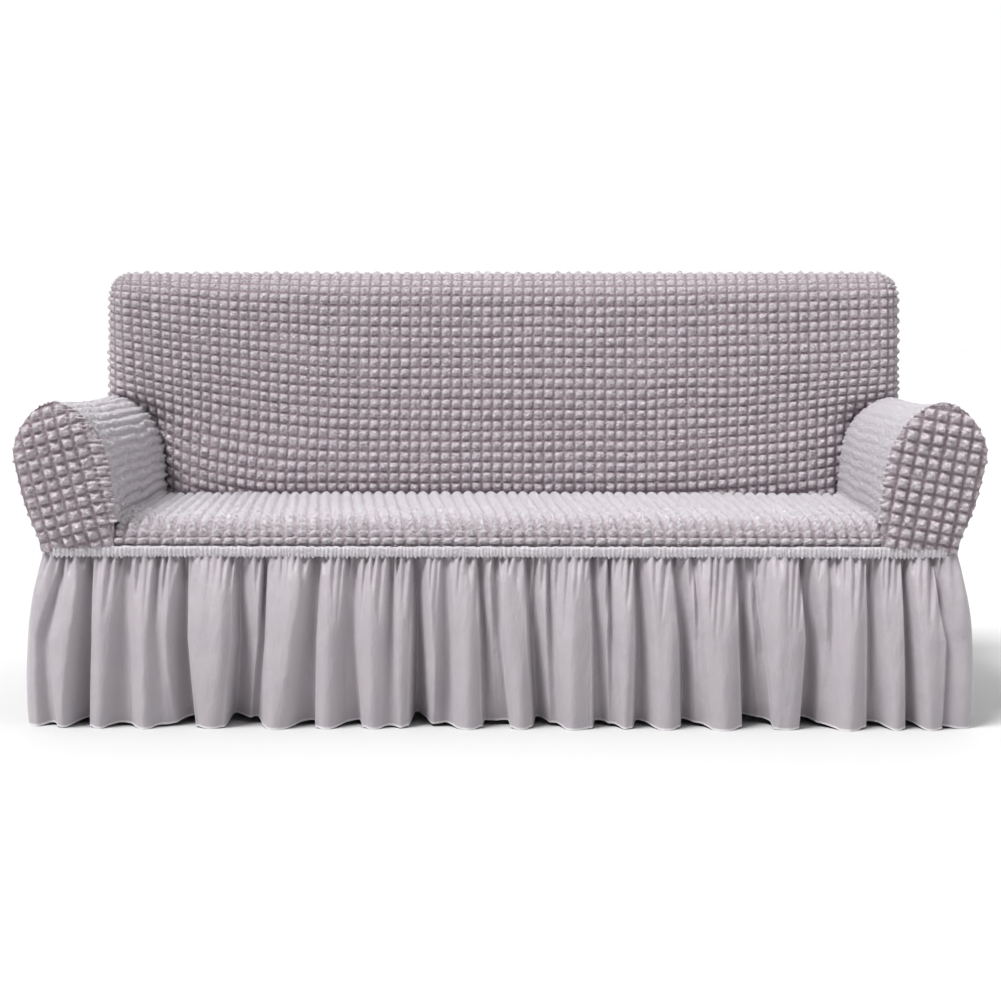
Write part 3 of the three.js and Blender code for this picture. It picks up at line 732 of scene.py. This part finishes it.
for side in ("left", "right"):
    within = np.linspace(0, 1, FRONT_GRID[0])
    over = np.concatenate([BACK_OVER[::-1], 0 * within, BACK_OVER])
    across = np.concatenate([0 * BACK_OVER, within, 0 * BACK_OVER + 1])
    across, z = np.meshgrid(across, np.linspace(FRONT_FOOT, FRONT_TOP, FRONT_GRID[1]))
    inside, outside = slice(None, ROLL_TOP), slice(None, ROLL_TOP - 2, -1)
    inner_out = rounded(z, ARM_HEIGHT[inside], ARM_OUT[inside], soft=0.004)
    inner_out = np.where(z < POST_TOP, POST_OUT, inner_out)
    outer_out = rounded(z, ARM_HEIGHT[outside], ARM_OUT[outside], soft=0.004)
    inner, outer = arm_half(side, inner_out), arm_half(side, outer_out)
    half = inner + across * (outer - inner)
    slope = np.gradient(half, axis=0) / np.gradient(z, axis=0)
    way = np.where(across < 0.5, -1, 1)
    outward = way / np.sqrt(1 + slope**2)
    off = (over > 0) * (RIM_LIFT - RIM_CURVE * over**2)
    swell = ARM_SWELL * np.sin(np.pi * np.clip(across, 0, 1)) ** 0.6
    swell = swell * smooth(ARM_TOP - z, -0.008, 0.070) * smooth(z, 0.362, 0.410)
    surface = np.stack([SIGN[side] * (half + outward * off), FRONT - FRONT_OFF - swell + over,
                        z - outward * slope * off], axis=-1)
    flare = half + way * over - FRONT_START - FRONT_FLARE[side] * (z - BAND_TOP)
    p = flare / FRONT_SQUARE[0] + 1
    risen = z - BAND_TOP + np.tan(FRONT_TILT[side]) * (half - FRONT_START)
    q = risen / FRONT_SQUARE[1] + 1
    rim = np.minimum(np.minimum(half - inner, outer - half), ARM_TOP - z) - over
    seam_length = np.interp(z, ARM_HEIGHT[inside], arm_lengths[inside])
    gathered = creases(seam_length, 45, 0.006, 0.014)
    gathered = gathered * np.exp(-np.maximum(0, rim) / FRILL[side]) * (across < 0.5)
    raised = squares(p, q, seed=51, flat=0.12) * smooth(rim, -0.010, 0.020 + 0.5 * FRILL[side])
    raised = raised + 0.45 * gathered
    dented = cloudy(p * 2.6, q * 2.6, seed=52) + 0.4 * cloudy(p * 5.2, q * 5.2, seed=53) - 0.7
    raised = raised + dented * 0.75 * smooth(raised, 0.05, 0.5)
    fade = smooth(z, BAND_TOP - 0.004, BAND_TOP + 0.006)
    puffed = (raised - 0.25) * fade * FRONT_PUFF
    points = surface + SIGN[side] * normals(surface) * puffed[..., None]
    piece = cloth_piece(f"arm_front_{side}_cloth", points, np.stack([p, q], -1), raised, 0,
                        bubbled, inside_out=side == "left")
    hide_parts(f"arm_front_{side}")

# ---- Elastic band --------------------------------------------------------
# A strip of cloth shirred over flat elastic, which grips the base all round. The
# shirring shows as fine upright ribs, which end in small teeth below, with painted shade
# between the ribs and a painted highlight along the upper edge.

BASE_CORNER = 0.040
BAND_FOOT = 0.358
BAND_SWELL = 0.0016
RIBS = 640
RIB_LINES = 4               # grid lines to a rib
RIB_HEIGHT = 0.0022
OFF_BASE = 0.0012
TOP_WANDER = 0.0025         # unevenness of the upper edge
TEETH = 0.0060              # and length of the lower edge's teeth
WIDE = 0.948 - BASE_CORNER
DEEP = (REAR - FRONT) / 2 - BASE_CORNER
BEND = BASE_CORNER * np.pi / 2
AROUND = 4 * (WIDE + DEEP + BEND)
OUTLINE = np.cumsum([0, WIDE, BEND, 2 * DEEP, BEND, 2 * WIDE, BEND, 2 * DEEP, BEND, WIDE])
HEADING = np.array([0, 0, 1, 1, 2, 2, 3, 3, 4, 4]) * np.pi / 2
CENTRE_X = np.array([0, 1, 1, 1, 1, -1, -1, -1, -1, 0]) * WIDE
CENTRE_Y = np.array([-1, -1, -1, 1, 1, 1, 1, -1, -1, -1]) * DEEP


def on_base(distance, out, z):
    """A place beside the base's outline, at a distance round it from the middle of the
    front towards +X. A radius that turns with the outline's heading stands on a centre
    that moves along the straight stretches only."""
    d = np.mod(distance, AROUND)
    heading = np.interp(d, OUTLINE, HEADING)
    x = np.interp(d, OUTLINE, CENTRE_X) + (BASE_CORNER + out) * np.sin(heading)
    y = np.interp(d, OUTLINE, CENTRE_Y) - (BASE_CORNER + out) * np.cos(heading)
    return np.stack([x, y, z], axis=-1)


# the band's two colours: painted shade between the ribs and painted highlight on their tops and
# upper edge, with the threads' uneven tone between them
RIB_SHADE_AND_DARK_THREADS = (0.390, 0.362, 0.390, 1)
RIB_HIGHLIGHT_AND_PALE_THREADS = (0.640, 0.625, 0.650, 1)

steps = np.arange(RIBS * RIB_LINES + 1) / RIB_LINES
rib, up = np.meshgrid(steps, np.linspace(0, 1, 11))
distance = rib / RIBS * AROUND
fine = creases(distance, 61, 0.005, 0.011) * smooth(1 - up, 0.0, 0.3)
raised = fine * (0.6 + 0.8 * cloudy(distance * 90, up * 2.5, seed=63))
out = BAND_SWELL * np.sin(np.pi * up) ** 0.6 + RIB_HEIGHT * raised
edge = TOP_WANDER * (cloudy(distance * 120, 0 * up, seed=64) - 0.5) * up
teeth = TEETH * creases(distance, 62, 0.006, 0.011) * (1 - up) ** 3
z = BAND_FOOT + up * (BAND_TOP + 0.001 - BAND_FOOT) + edge - teeth
points = on_base(distance, out + OFF_BASE, z)

band_finish, shader, start = cloth_finish("shirred_jersey", 0.85, 0.1)
place = start.node("ShaderNodeUVMap", {"uv_map": "cloth"}, {})
upward = start.node("ShaderNodeSeparateXYZ", {}, {0: place}).sibling(1)
ridge = start.node("ShaderNodeAttribute", {"attribute_name": "raised"}, {}, output=2)
threads = start.node("ShaderNodeTexNoise", {}, {"Vector": place, "Scale": 1.4, "Detail": 4,
                                                "Roughness": 0.7})
# Painted shade between the ribs and painted highlight on their tops, the threads' uneven tone, and
# a painted highlight along the upper edge.
lit_ribs_and_threads = ridge.between(0.0, 0.7) * 0.4 + threads.between(0.3, 0.7) * 0.45
lit_ribs_and_threads = lit_ribs_and_threads + upward.between(2.1, 2.7) * 0.3
lit_ribs_and_threads.between(0.0, 1.0).mix(RIB_SHADE_AND_DARK_THREADS, RIB_HIGHLIGHT_AND_PALE_THREADS).into(shader, "Base Color")
puckered = start.node("ShaderNodeBump", {}, {"Strength": 0.7, "Distance": 0.003,
                                             "Height": threads})
puckered.into(shader, "Normal")

band = cloth_piece("elastic_band_cloth", points, np.stack([rib, up * 3], -1), raised, 1,
                   band_finish)
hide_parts("elastic_band")

# ---- Skirt ---------------------------------------------------------------
# A full strip of plain brushed polyester, joined from four lengths just past the
# corners, pleated by the gathering into the band and hanging to the floor in
# tubes, with deep folds falling back between them and a narrow turned hem.

HEM = 0.0003
FULLNESS = 1.5              # cloth for each unit of band that it is gathered into
SKIRT_LIFT = 0.2            # rise of the hem for each unit that a fold lies back
LIFT_TOP = 0.125            # height up to which that rise is felt
MIDDLE_HEIGHT = 0.186
CREST = 0.16                # swell of a tube for each unit of its width
CREST_MOST = 0.012
SEAM_SWELL = 0.006
BROAD, STEEP, EVEN = 2.5, 0.9, 1.6    # widths of a fold's flanks, in its half-widths
DEEPER = 1.45               # how much deeper the folds are where cloth is so thin
ROUNDER = 2.1               # how much fuller the tubes are than their swell
RECESS = 0.012              # how far back the tubes' edges lie for that
GROWN = 0.3                 # share of a tube's swell that it already has at the band
NARROWED = 0.45             # and share of a fold's width
HELD = 0.55                 # and share of a fold's depth
FREE = 0.045                # how far below the band a fold comes to its full depth
BEHIND_BAND = 0.002         # how far the skirt runs on behind the band
HANG_HEIGHT = np.array([0, 30, 105, 186, 227, 268, 319, 358]) / 1000
HANG_OUT = np.array([27, 31, 34, 32, 29, 23, 12, 0]) / 1000

# Each fold's place at the band, the middle and the hem, from the middle of its side;
# its half-width at the hem; its depth at the band and the hem; and how far its foot
# leans under the tube beside it. In millimetres.
FRONT_FOLDS = [
    (-904, -932, -932, 13, 10, 18, -5),
    (-844, -852, -866, 20, 22, 34, 10),
    (-773, -778, -788, 24, 18, 16, 0),
    (-707, -707, -697, 16, 4, 7, 0),
    (-648, -654, -646, 22, 20, 42, 8),
    (-538, -532, -545, 30, 18, 52, -10),
    (-484, -488, -503, 9, 16, 14, 0),
    (-371, -388, -398, 24, 18, 26, 10),
    (-298, -303, -298, 22, 14, 28, 4),
    (-220, -224, -224, 13, 16, 8, 0),
    (-170, -168, -170, 21, 22, 56, -4),
    (-110, -107, -112, 18, 12, 20, 0),
    (-40, -30, -22, 15, 18, 26, -6),
    (-3, 1, 14, 15, 14, 26, 4),
    (59, 71, 86, 20, 16, 36, -6),
    (103, 109, 123, 10, 12, 10, 0),
    (193, 203, 208, 18, 16, 28, -6),
    (229, 233, 243, 8, 12, 6, 0),
    (284, 292, 292, 20, 18, 30, -4),
    (362, 383, 393, 21, 16, 32, -8),
    (405, 414, 425, 9, 10, 5, 0),
    (497, 507, 520, 20, 18, 50, -8),
    (521, 542, 559, 13, 14, 24, 6),
    (625, 645, 639, 22, 18, 40, -8),
    (687, 687, 684, 13, 8, 6, 0),
    (763, 769, 775, 19, 18, 28, -5),
    (833, 843, 854, 16, 20, 32, -8),
    (896, 922, 922, 11, 10, 14, -5),
]
SIDE_FOLDS = [
    (-340, -350, -356, 17, 12, 26, 5),
    (-250, -242, -236, 21, 16, 36, -6),
    (-156, -162, -168, 14, 12, 16, 0),
    (-62, -58, -50, 23, 18, 38, 6),
    (38, 44, 50, 19, 16, 28, -6),
    (128, 122, 118, 14, 12, 14, 0),
    (214, 222, 230, 22, 18, 36, 6),
    (346, 350, 352, 18, 14, 26, -5),
]
BACK_FOLDS = [
    (-866, -872, -876, 20, 16, 28, 4),
    (-752, -760, -766, 22, 18, 36, -6),
    (-660, -654, -648, 15, 12, 16, 0),
    (-566, -572, -580, 23, 18, 38, 6),
    (-470, -462, -456, 19, 16, 28, -4),
    (-362, -368, -376, 22, 18, 36, 6),
    (-276, -270, -264, 14, 12, 14, 0),
    (-178, -184, -192, 23, 18, 40, -6),
    (-84, -78, -70, 18, 14, 26, 4),
    (22, 16, 10, 22, 18, 36, -6),
    (112, 118, 122, 14, 12, 16, 0),
    (206, 200, 196, 23, 18, 38, 6),
    (304, 310, 316, 18, 16, 28, -5),
    (404, 398, 392, 22, 18, 36, 6),
    (492, 498, 504, 14, 12, 14, 0),
    (586, 592, 600, 23, 18, 38, -6),
    (690, 684, 678, 18, 14, 26, 4),
    (786, 792, 798, 22, 18, 34, -5),
    (878, 872, 868, 16, 12, 22, 4),
]


def hang_out(z):
    """How far the skirt's side stands out at a height, with its corners rounded off."""
    return rounded(z, HANG_HEIGHT, HANG_OUT, soft=0.016)


PLEAT_DEPTH = 0.0180
SHORTEST, LONGER = 0.035, 0.15    # length of the shortest pleat, and how much the others add
GATHER_DEPTH = 0.003
GATHER_LENGTH = 0.018


def pleats(distance, z, seed):
    """Pleats below the band: narrow valleys between rounded ridges, each dying away to a
    point over a length of its own that varies smoothly along the band, with finer
    gathers right under the band."""
    below = BAND_FOOT - z
    length = SHORTEST + LONGER * cloudy(distance * 45 + 9, 0 * z, seed + 2) ** 1.3
    left = np.clip(1 - below / length, 0, 1)
    fine = creases(distance, seed, 0.006, 0.011) * np.clip(1 - below / GATHER_LENGTH, 0, 1)
    deep = creases(distance + 0.06 * below, seed + 4, 0.011, 0.024)
    return PLEAT_DEPTH * left * deep ** 1.4 + GATHER_DEPTH * fine


DRIFT = 0.126               # a wave's height, times its radians in a metre
DRIFT_WAVES = 6


def drift(distance, z, seed):
    """Slow uneven waves of the hanging cloth: a sum of sines that lean with height, each
    with a height in proportion to its length."""
    total = 0
    for k in range(DRIFT_WAVES):
        wave = chance(seed + k, 40, 150, 1)
        lean = chance(seed + 10 + k, -8, 8, 1)
        turn = chance(seed + 20 + k, 0, 6.28, 1)
        total = total + np.sin(wave * distance + lean * z * (1 + z) + turn) / wave
    return total * DRIFT


def skirt_surface(middle, folds, run, s, z, seed):
    """One length of the skirt by distance along its side and height. Each fold falls
    back by a cosine bell over its width, steeper on the side that it leans under, and
    the cloth between two folds swells forward by a sine. Pleats and drift come on top,
    and the hem rises in proportion to how far back it lies."""
    band, mid, hem, reach, top, deep, drawn = (np.array(folds).T / 1000)[:, None, None, :]
    s3, z3 = s[..., None], z[..., None]
    fallen = np.clip(1 - z3 / BAND_FOOT, 0, 1)
    place = np.where(z3 < MIDDLE_HEIGHT, hem + (mid - hem) * z3 / MIDDLE_HEIGHT,
                     mid + (band - mid) * (z3 - MIDDLE_HEIGHT) / (BAND_FOOT - MIDDLE_HEIGHT))
    half = reach * (NARROWED + (1 - NARROWED) * fallen)
    flank = np.where((s3 < place) == (drawn > 0), BROAD, STEEP)
    flank = np.where(drawn == 0, EVEN, flank)
    bell = 0.5 + 0.5 * np.cos(np.pi * np.clip((s3 - place) / half / flank, -1, 1))
    inward = (bell * (top + (deep - top) * fallen)).sum(axis=-1)
    shift = (bell * drawn * fallen).sum(axis=-1)
    rim = np.full(place.shape[:2] + (1,), run)
    first = np.concatenate([-rim, place + half], axis=-1)
    last = np.concatenate([place - half, rim], axis=-1)
    share = np.clip((s3 - first) / (last - first), 0, 1)
    fallen = fallen[..., 0]
    grown = GROWN + (1 - GROWN) * fallen
    swell = np.minimum(CREST_MOST, CREST * (last - first)) * grown[..., None]
    below = BAND_FOOT - z
    from_end = run - np.abs(s)
    inward = inward * (HELD + (1 - HELD) * smooth(below, 0, FREE)) * DEEPER
    inward = inward + RECESS * grown * smooth(from_end, 0.02, 0.12)
    inward = inward - ROUNDER * (swell * np.sin(np.pi * share)).sum(axis=-1)
    ends = 1 - smooth(from_end, 0, 0.020)
    inward = inward - SEAM_SWELL * ends * fallen
    loose = (1 - ends) * smooth(below, 0, 0.05)
    inward = inward + pleats(s + 3, z, seed) + drift(s, z, seed + 5) * loose
    lift = SKIRT_LIFT * np.maximum(0, inward) * np.clip(1 - z / LIFT_TOP, 0, 1)
    return on_base(middle + s + shift, hang_out(z) - inward, z + lift)


PLAIN_WARM = (0.390, 0.357, 0.382, 1)
PLAIN_COOL = (0.376, 0.348, 0.374, 1)
SLUB = (0.448, 0.421, 0.448, 1)
# a painted highlight along the hem's lowest few millimetres, and the heights between which it
# fades out
HEM_HIGHLIGHT = (0.680, 0.660, 0.685, 1)
HEM_FROM, HEM_TO = 0.0025, 0.0065   # heights between which the pale hem edge fades out

skirt_finish, shader, start = cloth_finish("brushed_polyester", 0.5, 0.2)
shader.inputs["Specular IOR Level"].default_value = 0.5
place = start.node("ShaderNodeUVMap", {"uv_map": "cloth"}, {})
upright = start.node("ShaderNodeMapping", {}, {"Vector": place, "Scale": (900, 45, 1)})
level = start.node("ShaderNodeMapping", {}, {"Vector": place, "Scale": (45, 900, 1)})
warp = start.node("ShaderNodeTexNoise", {}, {"Vector": upright, "Scale": 1.0, "Detail": 1})
weft = start.node("ShaderNodeTexNoise", {}, {"Vector": level, "Scale": 1.0, "Detail": 1})
cloud = start.node("ShaderNodeTexNoise", {}, {"Vector": place, "Scale": 9.0, "Detail": 3})
soft = start.node("ShaderNodeMapping", {}, {"Vector": place, "Scale": (48, 15, 1)})
rumple = start.node("ShaderNodeTexNoise", {}, {"Vector": soft, "Scale": 1.0, "Detail": 3,
                                               "Roughness": 0.55})
upward = start.node("ShaderNodeSeparateXYZ", {}, {0: place}).sibling(1)
colour = cloud.between(0.35, 0.65).mix(PLAIN_WARM, PLAIN_COOL)
colour = ((warp + weft).between(1.0, 1.4) * 0.5).mix(colour, SLUB)
# Painted highlight along the bottom edge of the hem.
colour = upward.between(HEM_FROM, HEM_TO).mix(HEM_HIGHLIGHT, colour)
colour.into(shader, "Base Color")
first = start.node("ShaderNodeBump", {}, {"Strength": 1.0, "Distance": 0.005, "Height": rumple})
second = start.node("ShaderNodeBump", {}, {"Strength": 0.5, "Distance": 0.0006,
                                           "Height": warp + weft, "Normal": first})
second.into(shader, "Normal")

# Each length's middle, as a distance round the base, its folds, half its length, and the
# columns and rows of its grid.
SKIRT_LENGTHS = {
    "front": (0, FRONT_FOLDS, WIDE + BEND, 1000, 90),
    "right": (WIDE + BEND + DEEP, SIDE_FOLDS, DEEP, 300, 60),
    "back": (AROUND / 2, BACK_FOLDS, WIDE + BEND, 620, 60),
    "left": (-WIDE - BEND - DEEP, SIDE_FOLDS, DEEP, 300, 60),
}

for side, (middle, folds, run, columns, rows) in SKIRT_LENGTHS.items():
    heights = np.linspace(HEM, BAND_FOOT + BEHIND_BAND, rows + 1)
    s, z = np.meshgrid(np.linspace(-run, run, columns + 1), heights)
    points = skirt_surface(middle, folds, run, s, z, seed=70 + len(side))
    piece = cloth_piece(f"skirt_{side}_cloth", points, np.stack([s, z], -1), 0 * s, 0,
                        skirt_finish)
    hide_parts(f"skirt_{side}")
    2 * run * FULLNESS
